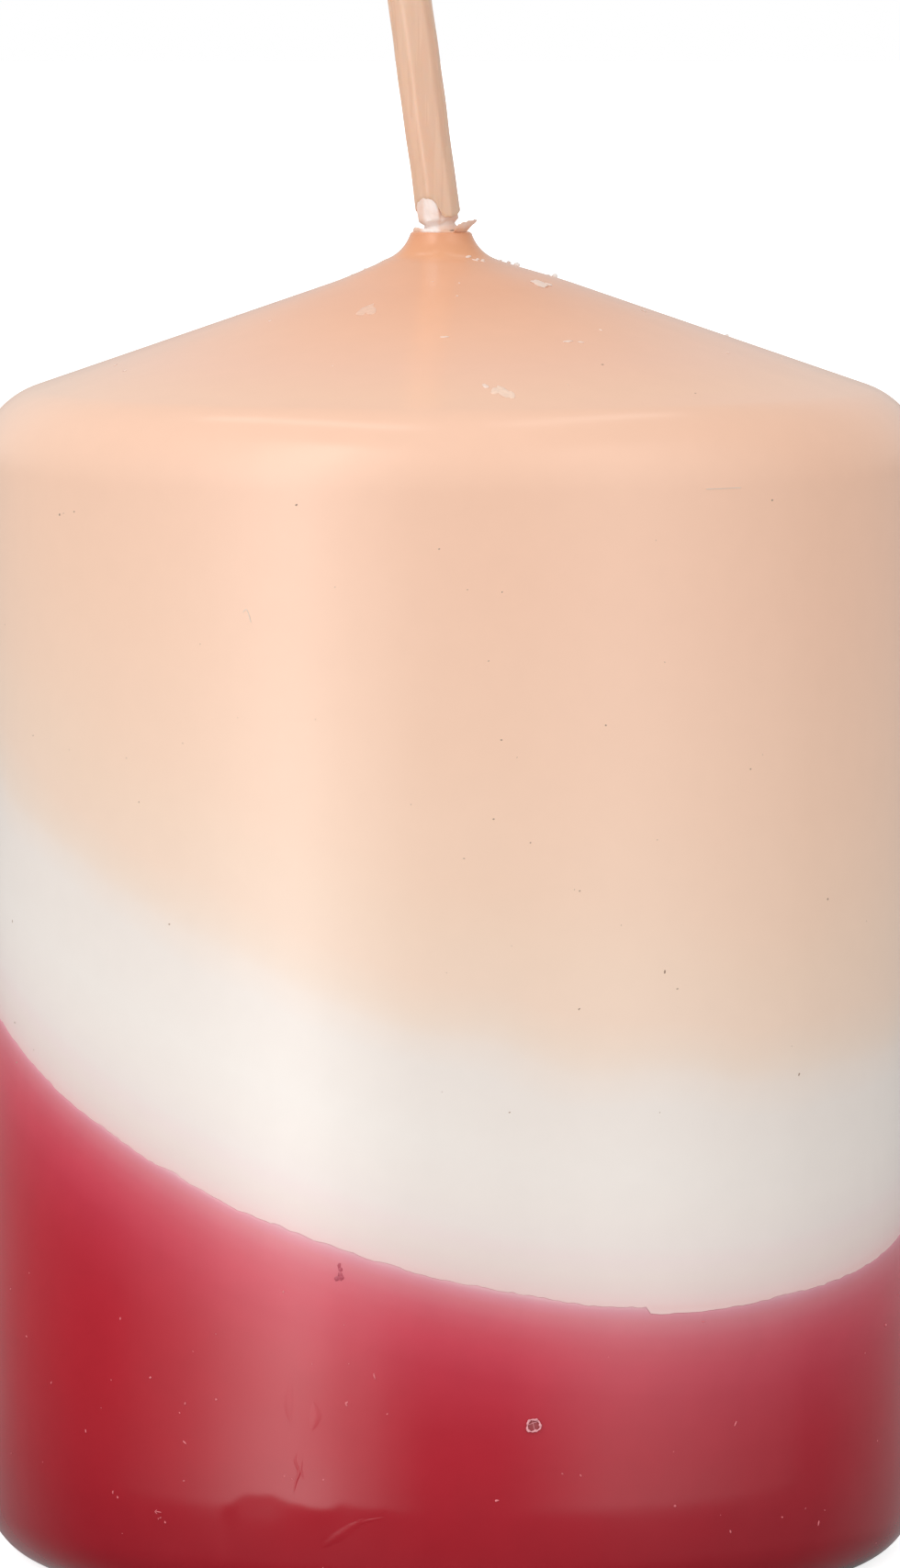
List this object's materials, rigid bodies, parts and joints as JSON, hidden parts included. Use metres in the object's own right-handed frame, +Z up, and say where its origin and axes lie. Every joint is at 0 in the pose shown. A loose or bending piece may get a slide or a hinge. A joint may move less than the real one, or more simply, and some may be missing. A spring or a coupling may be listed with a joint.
{
  "type": "pillar candle",
  "caption": "Dipped pillar candle with a cone top and slanted peach, white and red wax coats over a pressed core, and a waxed cotton wick that bends at its root.",
  "frame": {"origin": "centre of the candle's flat base, on the surface that it stands on", "axes": "+Z up along the candle's axis, -Y to the front, +X to the right; the wick leans towards -X"},
  "size_m": [0.07, 0.07, 0.1183],
  "materials": {
    "core_wax": "pressed off-white paraffin, matt",
    "red_wax": "smooth crimson dipped wax, soft gloss",
    "white_wax": "smooth white dipped wax, soft gloss",
    "peach_wax": "smooth peach dipped wax, soft gloss",
    "sleeve_wax": "thin peach wax over the wick, soft gloss",
    "crumbled_wax": "broken whitish wax, matt",
    "cotton": "waxed braided cotton",
    "tinplate": "bright tinplate"
  },
  "bodies": {
    "candle": {"wax_core": "core_wax", "red_overdip": "red_wax", "white_overdip": "white_wax", "peach_overdip": "peach_wax", "wick_sustainer": "tinplate", "wick_in_core": "cotton", "root_crust": "crumbled_wax", "sleeve_flake": "crumbled_wax"},
    "wick_root": {"wick_root": "cotton"},
    "wick": {"wick_cotton": "cotton", "wick_wax_sleeve": "sleeve_wax"}
  },
  "joints": [
    {"name": "wick_lean", "type": "hinge", "parent": "candle", "child": "wick_root", "pos_m": [-0.00075, 0, 0.09735], "axis": [0, 1, 0], "range_deg": [-12.35, 27.65]},
    {"name": "wick_nod", "type": "hinge", "parent": "wick_root", "child": "wick", "pos_m": [-0.00075, 0, 0.09735], "axis": [1, 0, 0], "range_deg": [-20, 20]}
  ]
}
